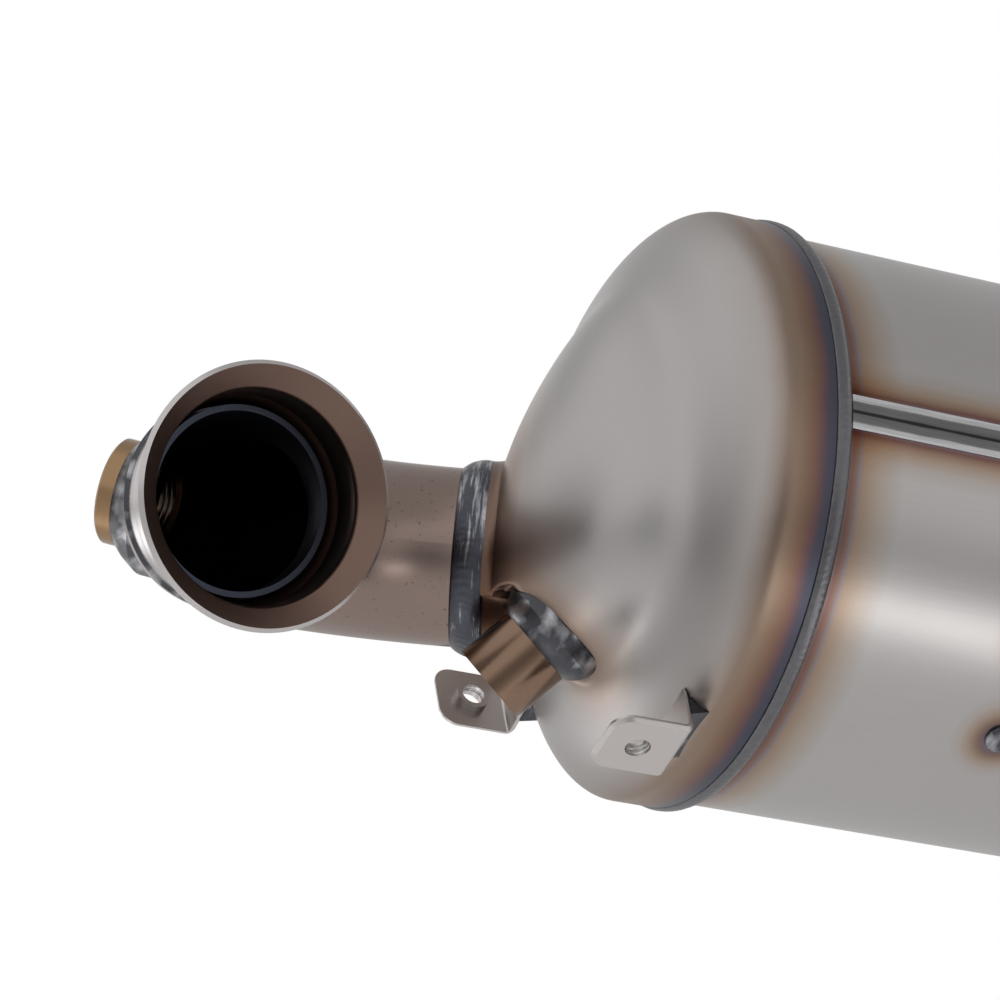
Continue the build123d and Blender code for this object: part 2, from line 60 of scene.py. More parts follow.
# Places in the row frame, in metres, and directions
INLET_TOE = Vector((RIM_X * MM, 0, 0))
OUTLET_TOE = Vector((-0.108, 0, 0))
OUTLET_NECK = Vector((-0.050, 0, 0))
TO_INLET = Vector((-1, 0, 0))
TO_OUTLET = Vector((1, 0, 0))
NECK = INLET_TOE + Vector((-58.7, 19.7, -20.4)) * MM
YAW, DIP, LEAN = math.radians(25.0), math.radians(2.8), math.radians(5.4)
PIPE_DIR = Vector((-math.cos(YAW) * math.cos(DIP), math.sin(YAW) * math.cos(DIP), -math.sin(DIP)))
MOUTH_DIR = Vector((math.sin(LEAN), -math.cos(LEAN), 0))
BEND_TURN = math.acos(PIPE_DIR.dot(MOUTH_DIR))
BEND_IN = (MOUTH_DIR - PIPE_DIR * MOUTH_DIR.dot(PIPE_DIR)).normalized()
BEND_START = NECK + PIPE_DIR * 3.6 * MM
BEND_CENTRE = BEND_START + BEND_IN * (BEND_R * MM)


def bend_out(turn):
    """The direction from the bend's centre, a given turn along it."""
    return PIPE_DIR * math.sin(turn) - BEND_IN * math.cos(turn)


PIPE_END = BEND_CENTRE + bend_out(BEND_TURN) * (BEND_R * MM)
MOUTH = PIPE_END + MOUTH_DIR * 16.6 * MM
BOSS_TURN, BOSS_ROLL = math.radians(79.0), math.radians(11.0)
ELBOW_AXIS = (bend_out(BOSS_TURN) * math.cos(BOSS_ROLL)
              + PIPE_DIR.cross(BEND_IN).normalized() * math.sin(BOSS_ROLL))
ELBOW_POINT = BEND_CENTRE + bend_out(BOSS_TURN) * (BEND_R * MM) + ELBOW_AXIS * (PIPE_R * MM)
TAP_SEAT = INLET_TOE + Vector((-48.6, -13.5, -40.8)) * MM
TAP_AXIS = Vector((-0.599, 0.321, -0.734)).normalized()
SEAM_ANGLE = math.radians(-105.2)


def round_can(degrees):
    """A direction out from the can's axis, 0 being straight down."""
    a = math.radians(degrees)
    return Vector((0, math.sin(a), -math.cos(a)))


TACKS = [INLET_TOE + Vector((x * MM, 0, 0)) + round_can(a) * (CAN_R * MM)
         for x in (62.5, 96.5) for a in (-69.0, -47.0)]


# Material graphs

class Graph:
    """A material's node tree, with short calls for the nodes that it is made of."""

    def __init__(self, name):
        self.material = bpy.data.materials.new(name)
        self.material.use_nodes = True
        self.tree = self.material.node_tree
        self.tree.nodes.clear()
        self.output = self.node("ShaderNodeOutputMaterial")
        self.position = self.node("ShaderNodeTexCoord").outputs["Object"]

    def node(self, kind, **settings):
        made = self.tree.nodes.new(kind)
        for key, value in settings.items():
            setattr(made, key, value)
        return made

    def put(self, socket, value):
        if isinstance(value, bpy.types.NodeSocket):
            self.tree.links.new(value, socket)
        elif isinstance(value, (tuple, list, Vector)) and len(value) == 3 and socket.type == "RGBA":
            socket.default_value = (*value, 1)
        else:
            socket.default_value = value

    def math(self, operation, a, b=0.0, clamp=False):
        made = self.node("ShaderNodeMath", operation=operation, use_clamp=clamp)
        self.put(made.inputs[0], a)
        self.put(made.inputs[1], b)
        return made.outputs[0]

    def vector(self, operation, a, b):
        made = self.node("ShaderNodeVectorMath", operation=operation)
        self.put(made.inputs[0], a)
        self.put(made.inputs[1], b)
        return made.outputs["Value" if operation in ("DISTANCE", "DOT_PRODUCT") else "Vector"]

    def apart(self, vector):
        """A vector's three numbers, by the names X, Y and Z."""
        made = self.node("ShaderNodeSeparateXYZ")
        self.put(made.inputs[0], vector)
        return made.outputs

    def blend(self, factor, a, b, mode="MIX"):
        made = self.node("ShaderNodeMix", data_type="RGBA", blend_type=mode)
        self.put(made.inputs[0], factor)
        self.put(made.inputs[6], a)
        self.put(made.inputs[7], b)
        return made.outputs[2]

    def times(self, a, b):
        """One colour tinted by another."""
        return self.blend(1.0, a, b, "MULTIPLY")

    def ramp(self, value, stops):
        """A colour that follows a value. Stops are (value, colour or grey), in rising order."""
        low, high = stops[0][0], stops[-1][0]
        share = self.math("DIVIDE", self.math("SUBTRACT", value, low), high - low, clamp=True)
        made = self.node("ShaderNodeValToRGB")
        elements = made.color_ramp.elements
        while len(elements) < len(stops):
            elements.new(0.5)
        for element, (at, colour) in zip(elements, stops):
            element.position = (at - low) / (high - low)
            element.color = (*colour, 1) if isinstance(colour, tuple) else (colour,) * 3 + (1,)
        self.put(made.inputs[0], share)
        return made.outputs[0]

    def noise(self, scale, detail=3.0, stretch=(1, 1, 1), roughness=0.5, source=None):
        """Noise with a number of features per metre, stretched along the axes."""
        mapping = self.node("ShaderNodeMapping")
        self.put(mapping.inputs["Vector"], source or self.position)
        mapping.inputs["Scale"].default_value = [scale * s for s in stretch]
        made = self.node("ShaderNodeTexNoise")
        self.put(made.inputs["Vector"], mapping.outputs[0])
        made.inputs["Scale"].default_value = 1.0
        made.inputs["Detail"].default_value = detail
        made.inputs["Roughness"].default_value = roughness
        return made.outputs["Fac"]

    def scaled(self, value, low, high):
        """A value of 0 to 1, moved to lie from low to high."""
        return self.math("ADD", self.math("MULTIPLY", value, high - low), low)

    def peaks(self, value, level, gain):
        """What stands above a level, made steeper and kept from 0 to 1."""
        above = self.math("SUBTRACT", value, level, clamp=True)
        return self.math("MULTIPLY", above, gain, clamp=True)

    def height_above(self, point, direction):
        """Distance in millimetres from a plane, given by a point and its direction."""
        offset = self.vector("SUBTRACT", self.position, point)
        return self.math("MULTIPLY", self.vector("DOT_PRODUCT", offset, direction), 1 / MM)

    def away_from(self, point):
        """Distance in millimetres from a point."""
        return self.math("MULTIPLY", self.vector("DISTANCE", self.position, point), 1 / MM)

    def wandering(self, distance, amount, scale=60.0):
        """A distance that varies a little from place to place, so that bands aren't ruled."""
        return self.math("ADD", distance, self.scaled(self.noise(scale), -amount, amount))

    def bump(self, height, distance, normal=None):
        """Surface relief, with its height in metres."""
        made = self.node("ShaderNodeBump")
        made.inputs["Distance"].default_value = distance
        self.put(made.inputs["Height"], height)
        if normal is not None:
            self.put(made.inputs["Normal"], normal)
        return made.outputs[0]

    def surface(self, colour, roughness, normal=None, metallic=1.0):
        """The shader that all of it leads to."""
        made = self.node("ShaderNodeBsdfPrincipled")
        self.put(made.inputs["Base Color"], colour)
        self.put(made.inputs["Metallic"], metallic)
        self.put(made.inputs["Roughness"], roughness)
        if normal is not None:
            self.put(made.inputs["Normal"], normal)
        self.tree.links.new(made.outputs[0], self.output.inputs[0])
        return made

    def either_shader(self, factor, first, second):
        """Shows one shader or the other, by a factor of 0 to 1."""
        made = self.node("ShaderNodeMixShader")
        self.put(made.inputs[0], factor)
        self.tree.links.new(first.outputs[0], made.inputs[1])
        self.tree.links.new(second.outputs[0], made.inputs[2])
        self.tree.links.new(made.outputs[0], self.output.inputs[0])


# Heat tint, which multiplies the steel's colour, by distance in millimetres
CAN_TINT = [(0, (0.35, 0.30, 0.33)), (1.2, (0.42, 0.24, 0.20)), (2.6, (0.50, 0.36, 0.32)),
            (3.4, (0.55, 0.48, 0.50)), (4.5, (0.72, 0.55, 0.42)), (9, (0.88, 0.77, 0.66)),
            (16, (1, 1, 1))]
HEAD_TINT = [(0, (0.16, 0.18, 0.25)), (2, (0.20, 0.19, 0.25)), (3.5, (0.34, 0.21, 0.22)),
             (6, (0.48, 0.30, 0.22)), (10, (0.62, 0.46, 0.34)), (13, (0.66, 0.52, 0.42)),
             (18, (0.93, 0.89, 0.87)), (24, (1, 1, 1))]
SEAM_TINT = [(0, (0.45, 0.33, 0.38)), (1, (0.40, 0.22, 0.19)), (2.2, (0.62, 0.42, 0.32)),
             (4, (0.80, 0.64, 0.50)), (7, (0.93, 0.86, 0.80)), (11, (1, 1, 1))]
COLLAR_TINT = [(0, (0.34, 0.23, 0.19)), (5, (0.46, 0.32, 0.25)), (8, (0.66, 0.52, 0.44)),
               (12, (0.92, 0.86, 0.82)), (18, (1, 1, 1))]
SEAT_TINT = [(0, (0.50, 0.38, 0.31)), (3, (0.78, 0.62, 0.52)), (8, (0.95, 0.86, 0.80)),
             (16, (1, 1, 1))]
PLAIN_TINT = [(0.0, (0.30, 0.31, 0.38)), (0.06, (0.28, 0.20, 0.27)), (0.14, (0.36, 0.20, 0.17)),
              (0.26, (0.52, 0.34, 0.22)), (0.45, (0.80, 0.62, 0.48)), (0.70, (0.95, 0.88, 0.82)),
              (1.0, (1.0, 1.0, 1.0))]


def tint_stops(reach, strength):
    """The plain tint, spread over a reach in millimetres."""
    return [(share * reach, tuple(1 - strength * (1 - c) for c in colour))
            for share, colour in PLAIN_TINT]


def plane_distance(point, direction, wander):
    return lambda g: g.wandering(g.height_above(point, direction), wander)


def point_distance(point, start, wander=0.8):
    return lambda g: g.wandering(g.math("SUBTRACT", g.away_from(point), start), wander)


def seam_distance(g):
    """Millimetres round the can from the seam's middle."""
    parts = g.apart(g.position)
    angle = g.math("ARCTAN2", parts["Y"], g.math("MULTIPLY", parts["Z"], -1.0))
    return g.math("MULTIPLY", g.math("SUBTRACT", angle, SEAM_ANGLE), CAN_R)


def beside_seam(g):
    """Millimetres from the seam's edge."""
    off = g.math("ABSOLUTE", seam_distance(g))
    return g.wandering(g.math("SUBTRACT", off, SEAM_HALF), 0.35, 90)


# Steels. Scales are in features per metre, and relief in metres
GRAIN_SCALE, CLOUD_SCALE, SCRATCH_SCALE, SPECK_SCALE = 90, 14, 26, 900
GRAIN_RELIEF = 0.000012
SCRATCH, SPECK = (0.75, 0.73, 0.72), (0.03, 0.025, 0.025)
SATIN = (0.400, 0.382, 0.376)
BRONZE = (0.250, 0.190, 0.165)


def shades(base, *factors):
    """A colour made darker or lighter by each factor."""
    return [tuple(factor * c for c in base) for factor in factors]


def steel(name, base, rough, grain=(1, 24, 24), tints=(), grain_bump=1.0, pits=0.0):
    """Satin stainless sheet: fine grain, cloudy gloss, stray scratches, and tint from heat."""
    g = Graph(name)
    dull, dark, light = shades(base, 0.90, 0.94, 1.06)
    fine = g.noise(GRAIN_SCALE, detail=4.0, stretch=grain, roughness=0.62)
    cloud = g.noise(CLOUD_SCALE, detail=4.0)
    colour = g.blend(fine, dark, light)
    colour = g.blend(g.scaled(cloud, 0, 0.5), colour, dull)
    for distance, stops in tints:
        colour = g.times(colour, g.ramp(distance(g), stops))
    lines = g.noise(SCRATCH_SCALE, detail=6.0, stretch=(1, 55, 55), roughness=0.72)
    scratched = g.math("MULTIPLY", g.peaks(lines, level=0.66, gain=5.0), 0.25)
    colour = g.blend(scratched, colour, SCRATCH)
    if pits:
        specks = g.peaks(g.noise(SPECK_SCALE, detail=2.0), level=0.66, gain=12.0)
        colour = g.blend(g.math("MULTIPLY", specks, pits), colour, SPECK)
    gloss = g.math("ADD", g.scaled(cloud, rough - 0.05, rough + 0.05), g.scaled(fine, -0.04, 0.04))
    g.surface(colour, gloss, g.bump(fine, GRAIN_RELIEF * grain_bump))
    return g.material


can_steel = steel("can_steel", SATIN, 0.31, tints=[
    (plane_distance(INLET_TOE, TO_OUTLET, 0.6), CAN_TINT),
    (plane_distance(OUTLET_TOE, TO_INLET, 0.6), CAN_TINT),
    (beside_seam, SEAM_TINT),
    *[(point_distance(p, 4.0), tint_stops(10, 0.85)) for p in TACKS]])

head_steel = steel("head_steel", SATIN, 0.37, tints=[
    (plane_distance(INLET_TOE + TO_INLET * RIM_LONG * MM, TO_INLET, 1.0), HEAD_TINT),
    (plane_distance(NECK, -PIPE_DIR, 1.5), COLLAR_TINT),
    (point_distance(TAP_SEAT, 15.0, 1.0), SEAT_TINT)])

outlet_steel = steel("outlet_steel", SATIN, 0.35, tints=[
    (plane_distance(OUTLET_TOE + TO_OUTLET * RIM_LONG * MM, TO_OUTLET, 1.0), HEAD_TINT),
    (plane_distance(OUTLET_NECK, TO_INLET, 1.0), tint_stops(30, 0.9))])

pipe_steel = steel("pipe_steel", BRONZE, 0.30, grain=(24, 1, 24), pits=0.6)
# Inside the pipes: a near-black colour, painted shade of the bores
inside_painted_shade = steel("inside_painted_shade", (0.050, 0.056, 0.074), 0.42)
# Inside the socket's flare: brown tint, made darker as painted shade inside the mouth
flare_tint_and_painted_shade = steel("flare_tint_and_painted_shade", (0.170, 0.112, 0.090), 0.34, grain=(40, 40, 40))
socket_steel = steel("socket_steel", (0.50, 0.47, 0.47), 0.24)
boss_steel = steel("boss_steel", (0.300, 0.190, 0.105), 0.22, grain=(8, 8, 8), grain_bump=0.6)
tap_steel = steel("tap_steel", (0.230, 0.150, 0.105), 0.20, grain=(8, 8, 8), grain_bump=0.6)
# Elbow boss's thread: the boss's bronze, made darker as painted shade in its bore
bore_tint_and_painted_shade = steel("bore_tint_and_painted_shade", (0.110, 0.080, 0.060), 0.26, grain=(3, 3, 3))
bracket_steel = steel("bracket_steel", (0.520, 0.485, 0.470), 0.33)
thread_steel = steel("thread_steel", (0.62, 0.61, 0.60), 0.18, grain=(3, 3, 3))


# Weld metal

# Colour of bare weld metal, also used to paint the glints on the beads
BARE_WELD_AND_GLINT = (0.62, 0.62, 0.65)


def weld_metal(name, oxide, share, beaded=True):
    """Frozen weld metal: dark oxide with bright streaks, which run along the bead if it has one.
    The streaks are bare metal and painted glints.
    """
    g = Graph(name)
    if beaded:
        along = g.node("ShaderNodeAttribute", attribute_name="bead").outputs["Vector"]
        streak = g.noise(1.0, detail=5.0, stretch=(60, 900, 0), roughness=0.65, source=along)
        patch = g.noise(1.0, stretch=(16, 60, 0), source=along)
        contrast, relief = 9.0, 0.00012
    else:
        streak = g.noise(260, stretch=(1, 0.25, 0.6))
        patch = g.noise(150, detail=1.0)
        contrast, relief = 5.0, 0.0003
    both = g.math("ADD", g.math("MULTIPLY", streak, 0.6), g.math("MULTIPLY", patch, 0.4))
    # Where the bright streaks stand: bare metal, and painted glints of the ripples
    bare = g.peaks(both, 1 - share, contrast)
    fine = g.noise(700, detail=4.0)
    colour = g.blend(fine, oxide, *shades(oxide, 1.5))
    colour = g.blend(g.math("MULTIPLY", bare, 0.8), colour, BARE_WELD_AND_GLINT)
    g.surface(colour, g.scaled(bare, 0.36, 0.24), g.bump(fine, 0.00005, g.bump(streak, relief)))
    return g.material


def seam_metal():
    """The rolled can's seam: a dark middle between two bare, ground edges."""
    g = Graph("seam_steel")
    lines = g.noise(60, detail=4.0, stretch=(1, 30, 30), roughness=0.65)
    off = g.wandering(g.math("ABSOLUTE", seam_distance(g)), 0.25, 120)
    colour = g.ramp(off, [(0, 0.03), (0.35, 0.04), (0.6, 0.15), (2.7, 0.18), (3.1, 0.50),
                          (4.5, 0.62)])
    colour = g.times(colour, g.ramp(lines, [(0.3, (0.72, 0.72, 0.75)), (0.7, (1, 1, 1))]))
    g.surface(colour, g.scaled(lines, 0.24, 0.38), g.bump(lines, 0.00004))
    return g.material


weld_steel = weld_metal("weld_steel", (0.060, 0.061, 0.068), share=0.50, beaded=False)
rim_weld_steel = weld_metal("rim_weld_steel", (0.105, 0.103, 0.110), share=0.40)
neck_weld_steel = weld_metal("neck_weld_steel", (0.055, 0.057, 0.068), share=0.47)
seam_steel = seam_metal()


# Brick and mat

def plain(name, colour, rough, scale, depth):
    """A dull, granular solid, for the brick and the mat inside the can."""
    g = Graph(name)
    grains = g.noise(scale, detail=5.0)
    speckled = g.blend(grains, *shades(colour, 0.8, 1.15))
    g.surface(speckled, rough, g.bump(grains, depth), metallic=0.0)
    return g.material


brick = plain("brick_ceramic", (0.50, 0.46, 0.38), 0.9, 1500, 0.0002)
mat_fibre = plain("mat_fibre", (0.72, 0.70, 0.64), 0.95, 900, 0.0003)


# Materials on the pieces

MATERIALS = {
    "filter_can": can_steel, "inlet_cone": head_steel, "outlet_cone": outlet_steel,
    "inlet_pipe": pipe_steel, "outlet_pipe": pipe_steel, "inlet_socket": socket_steel,
    "elbow_sensor_boss": boss_steel, "inlet_tap_boss": tap_steel, "outlet_tap_boss": tap_steel,
    "can_seam_weld": seam_steel,
    "front_shield_bracket": bracket_steel, "rear_shield_bracket": bracket_steel,
    "hanger_bracket": bracket_steel, "filter_brick": brick, "support_mat": mat_fibre,
    "inlet_mesh_ring": thread_steel, "outlet_mesh_ring": thread_steel,
}
for node, piece in NODES.items():
    piece.data.materials.clear()
    piece.data.materials.append(MATERIALS.get(node, weld_steel))


def second_material(node, material, chosen):
    """Gives some faces of a CAD node a material of their own."""
    mesh = NODES[node].data
    mesh.materials.append(material)
    for face in mesh.polygons:
        if chosen(face.center, face.normal):
            face.material_index = 1


def looks_in(line, centre, normal, least=0.3):
    """Whether a face looks in, towards a point on the pipe's centreline."""
    return (line - centre).dot(normal) > least * (line - centre).length


def inside_bend(centre, normal):
    across = centre - BEND_CENTRE
    plane_normal = PIPE_DIR.cross(BEND_IN).normalized()
    flat = across - plane_normal * across.dot(plane_normal)
    turn = math.atan2(flat.dot(PIPE_DIR), -flat.dot(BEND_IN))
    if turn < 0:
        line = NECK + PIPE_DIR * (centre - NECK).dot(PIPE_DIR)
    else:
        line = BEND_CENTRE + flat.normalized() * (BEND_R * MM)
    near_end = (centre - PIPE_END).length < (PIPE_R + 1.0) * MM
    return near_end and normal.dot(MOUTH_DIR) > 0.9 or looks_in(line, centre, normal)


def inside_outlet(centre, normal):
    return looks_in(Vector((centre.x, 0, 0)), centre, normal)


def inside_socket(centre, normal):
    line = MOUTH + MOUTH_DIR * (centre - MOUTH).dot(MOUTH_DIR)
    return looks_in(line, centre, normal, 0.2)


# Faces that look in along the pipes are painted near-black, as shade
second_material("inlet_pipe", inside_painted_shade, inside_bend)
second_material("outlet_pipe", inside_painted_shade, inside_outlet)
# The socket's inner faces get the brown tint with painted shade
second_material("inlet_socket", flare_tint_and_painted_shade, inside_socket)


# Mesh pieces

def add_mesh(name, points, faces, material):
    mesh = bpy.data.meshes.new(name)
    mesh.from_pydata([tuple(p) for p in points], [], faces)
    mesh.materials.append(material)
    for face in mesh.polygons:
        face.use_smooth = True
    mesh.update()
    piece = bpy.data.objects.new(name, mesh)
    bpy.context.scene.collection.objects.link(piece)
    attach(piece, "root")
    return piece


def frame_of(direction):
    """Two directions across a given one, which isn't upright."""
    side = direction.cross(Vector((0, 0, 1))).normalized()
    return side, direction.cross(side)


# Weld beads, in millimetres: the length and height of one dab of weld metal, how far its middle
# runs ahead in dabs, how far the bead wanders, and what the crown leaves to the ripples
DAB_LONG, DAB_HIGH, DAB_AHEAD = 2.1, 0.10, 1.1
WANDER, CROWN_LEAVES, ROUGHNESS = 0.35, 0.35, 0.05
DAB_STEPS, BEAD_STEPS = 6, 12

# Width of a bead in the texture that its streaks follow, in metres
STREAK_WIDE = 0.006


def uneven(x, y, z):
    return noise.noise(Vector((x, y, z)))


def bead_ring(name, node, material, point, direction, toes, roots, crown, seed):
    """A weld bead round an axis, with the ripples left by each dab of weld metal."""
    (r0, h0), (r1, h1) = toes
    radius = (r0 + r1) / 2
    steps = int(2 * math.pi * radius / DAB_LONG) * DAB_STEPS
    side, up = frame_of(direction)
    length = math.hypot(r1 - r0, h1 - h0)
    out = (h1 - h0) / length, (r0 - r1) / length
    points, bead, faces = [], [], []
    for i in range(steps):
        angle = 2 * math.pi * i / steps
        spoke = side * math.cos(angle) + up * math.sin(angle)
        run = angle * radius
        drift = uneven(math.cos(angle) * 3 + seed, math.sin(angle) * 3, seed) * WANDER
        pace = 0.8 * uneven(run * 0.16, seed, 7)
        strength = 0.6 + uneven(run * 0.11, seed, 2)
        for j in range(BEAD_STEPS + 1):
            t = j / BEAD_STEPS
            bow = 4 * t * (1 - t)
            phase = run / DAB_LONG + DAB_AHEAD * (1 - bow) + pace
            wave = (phase - math.floor(phase + drift * 0.3)) % 1.0
            dab = DAB_HIGH * strength * bow ** 0.5 * (1 - (2 * wave - 1) ** 2)
            rough = ROUGHNESS * uneven(run * 1.3, t * 3, seed + 4)
            height = (crown - CROWN_LEAVES) * bow + (dab + rough) * min(1, 2 * bow)
            r = r0 + (r1 - r0) * t + out[0] * height
            h = h0 + (h1 - h0) * t + out[1] * height + drift * bow * 0.4
            points.append(point + (spoke * r + direction * h) * MM)
            bead.append((run * MM, t * STREAK_WIDE, 0))
        for r, h in roots:
            points.append(point + (spoke * r + direction * h) * MM)
            bead.append((run * MM, 0, 0))
    count = BEAD_STEPS + 1 + len(roots)
    for i in range(steps):
        a, b = i * count, (i + 1) % steps * count
        for j in range(count):
            k = (j + 1) % count
            faces.append((a + j, a + k, b + k, b + j))
    piece = add_mesh(name, points, faces, material)
    attribute = piece.data.attributes.new("bead", "FLOAT_VECTOR", "POINT")
    attribute.data.foreach_set("vector", np.array(bead, np.float32).ravel())
    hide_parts(node)


# Each bead's toes and roots are (radius, height) pairs
RIM = dict(toes=((CAN_R, 0), (SKIRT_R, RIM_LONG)), roots=((SKIRT_R, 2.0), (CAN_R, 2.0)), crown=2.1)
bead_ring("inlet_rim_bead", "inlet_rim_weld", rim_weld_steel, INLET_TOE, TO_INLET, seed=1.0, **RIM)
bead_ring("outlet_rim_bead", "outlet_rim_weld", rim_weld_steel, OUTLET_TOE, TO_OUTLET, seed=2.0,
          **RIM)
COLLAR = dict(toes=((COLLAR_R, -3.4), (PIPE_R, 5.6)), roots=((PIPE_R, 0), (COLLAR_R, 0)), crown=1.5)
bead_ring("neck_bead", "neck_weld", neck_weld_steel, NECK, PIPE_DIR, seed=3.0, **COLLAR)
bead_ring("outlet_neck_bead", "outlet_neck_weld", neck_weld_steel, OUTLET_NECK, TO_OUTLET,
          seed=4.0, **COLLAR)


# Inlet head, drawn out of one sheet: a shallow dome blended into the offset tower. Its sizes are
# in millimetres, and the directions round it in degrees
NECK_AT, PIPE_AXIS = np.array(NECK) / MM, np.array(PIPE_DIR)
TAP_AT, TAP_LINE = np.array(TAP_SEAT) / MM, np.array(TAP_AXIS)

# Skirt: its straight length, and the levels of the last outlines down it
SKIRT_LONG, SKIRT_ROWS = 16.0, (9.0, 5.0, 2.0)

# Dome: its height, how far its edge draws in, and how far its top leans off the can's axis
DOME_TOP, DOME_REACH, DOME_LEAN = 28.9, 116.2, 12.2

# Tower: the middle of its foot and the bow of its centreline, how far its top lies under the neck,
# how early it drifts across, and its radius at the top with its flare to the foot
TOWER_BASE, TOWER_BOW = np.array([-352.8, 6.5, 6.4]), np.array([0, 2.0, 5.9])
TOWER_SINK, TOWER_DRIFT = 5.5, 1.8
TOWER_R, TOWER_FLARE, FLARE_POWER = 24.3, 33.4, 1.63

# Swelling of the tower beside the tap: its depth, direction and spread, and how fast it fades
SWELL, SWELL_AT, SWELL_WIDE, SWELL_POWER = 17.0, 210.0, 48.0, 1.5

# Crease where the tower meets the dome: its sharpness, and how much softer it is on the near side
CREASE, SOFTER, SOFTER_AT, SOFTER_WIDE = 18.0, 11.0, 205.0, 55.0

# Tap's seat: its radius, the slope of its dished edge, the depth that it reaches and its rounding
SEAT_R, SEAT_SLOPE, SEAT_DEEP, SEAT_BLEND = 16.5, 25.0, 12.0, 1.0
TAP_HOLE_R, TAP_HOLE_DEEP = 8.5, 4.0

# Collar: how deep it reaches down the tower, the length that it fades in over, its rounding, and
# the levels of its outlines as shares of its length
COLLAR_DEEP, COLLAR_FADE, COLLAR_BLEND = 16.0, 8.0, 5.0
COLLAR_ROWS = (1.0, 0.85, 0.6, 0.3)

COLUMNS, OUTSIDE_ROWS, INSIDE_ROWS, HALVINGS = 320, 170, 60, 24


def dome_at(points, inset):
    """How far points lie inside the dome, by their distance from its leaning middle."""
    rise = np.maximum(RIM_X - points[:, 0] - SKIRT_LONG, 0) / (DOME_TOP - inset)
    shrink = 1 - np.sqrt(np.maximum(1 - rise ** 2, 0))
    radius = SKIRT_R - inset - DOME_REACH * shrink
    return radius - np.hypot(points[:, 1], points[:, 2] - DOME_LEAN * shrink)


def dome_reach(centre, rays, inset):
    """How far each ray runs from a centre until it leaves the dome."""
    near, far = np.zeros(COLUMNS), np.full(COLUMNS, 2 * CAN_R)
    for _ in range(HALVINGS):
        middle = (near + far) / 2
        inside = dome_at(centre + rays * middle[:, None], inset) > 0
        near, far = np.where(inside, middle, near), np.where(inside, far, middle)
    return near


def bell(angle, middle, width):
    """1 in one direction round the head, fading to 0 on both sides of it."""
    return np.exp(-((np.degrees(angle) - middle) / width) ** 2)


def head_row(fall, inset):
    """One outline of the head, from the tower's top at 0 to the skirt at 1."""
    top = NECK_AT - PIPE_AXIS * (TOWER_SINK + inset)
    drift, bow = 1 - (1 - fall) ** TOWER_DRIFT, 4 * fall * (1 - fall)
    centre = top + (TOWER_BASE - top) * np.array([fall, drift, drift]) + TOWER_BOW * bow
    flare = (1 - (1 - fall) ** FLARE_POWER) ** (1 / FLARE_POWER)
    radius = TOWER_R + TOWER_FLARE * flare - inset
    axis = PIPE_AXIS * (1 - fall) + np.array([-1, 0, 0]) * fall
    axis /= np.linalg.norm(axis)
    across = np.cross(axis, [0, 0, 1])
    across /= np.linalg.norm(across)
    angle = 2 * np.pi * np.arange(COLUMNS) / COLUMNS
    rays = np.outer(np.cos(angle), across) + np.outer(np.sin(angle), np.cross(across, axis))
    halfway = np.sin(np.pi * fall)
    tower = radius + SWELL * halfway ** SWELL_POWER * bell(angle, SWELL_AT, SWELL_WIDE)
    power = CREASE - SOFTER * bell(angle, SOFTER_AT, SOFTER_WIDE) * halfway
    reach = (dome_reach(centre, rays, inset) ** power + tower ** power) ** (1 / power)
    return centre + rays * reach[:, None]


def seated(points, inset):
    """Points pressed in to a flat, dished seat where the tap boss stands."""
    offset = points - (TAP_AT - TAP_LINE * inset)
    height = offset @ TAP_LINE
    away = np.linalg.norm(offset - np.outer(height, TAP_LINE), axis=1)
    limit = np.maximum(away - (SEAT_R - inset), 0) / math.tan(math.radians(SEAT_SLOPE))
    lower = (height + limit - np.sqrt((height - limit) ** 2 + SEAT_BLEND)) / 2
    return points + np.outer(np.where(height > -SEAT_DEEP, lower - height, 0), TAP_LINE)


def collared(points, inset):
    """Points spread out to the collar round the pipe, near the tower's top."""
    height = (points - NECK_AT) @ PIPE_AXIS
    line = NECK_AT + np.outer(height, PIPE_AXIS)
    spoke = points - line
    away = np.linalg.norm(spoke, axis=1)
    collar = COLLAR_R - inset
    wide = (away + collar + np.sqrt((away - collar) ** 2 + COLLAR_BLEND)) / 2
    share = np.clip((height + COLLAR_DEEP) / COLLAR_FADE, 0, 1)
    share = share * share * (3 - 2 * share)
    return line + spoke * ((away + (wide - away) * share) / away)[:, None]


def head_rows(inset, rows):
    """The head's outlines from the collar's end down to the skirt's edge."""
    falls = 1 - np.cos(np.pi / 2 * np.arange(rows + 1) / rows)
    body = [collared(seated(head_row(fall, inset), inset), inset) for fall in falls]
    height = (body[0] - NECK_AT) @ PIPE_AXIS
    spoke = body[0] - NECK_AT - np.outer(height, PIPE_AXIS)
    away = np.linalg.norm(spoke, axis=1)
    collar = []
    for share in COLLAR_ROWS:
        radius = away + (COLLAR_R - inset - away) * share ** 0.5
        collar.append(NECK_AT + np.outer(height * (1 - share), PIPE_AXIS)
                      + spoke * (radius / away)[:, None])
    skirt = []
    for level in SKIRT_ROWS:
        row = body[-1].copy()
        row[:, 0] = RIM_X - level
        skirt.append(row)
    return collar + body + skirt


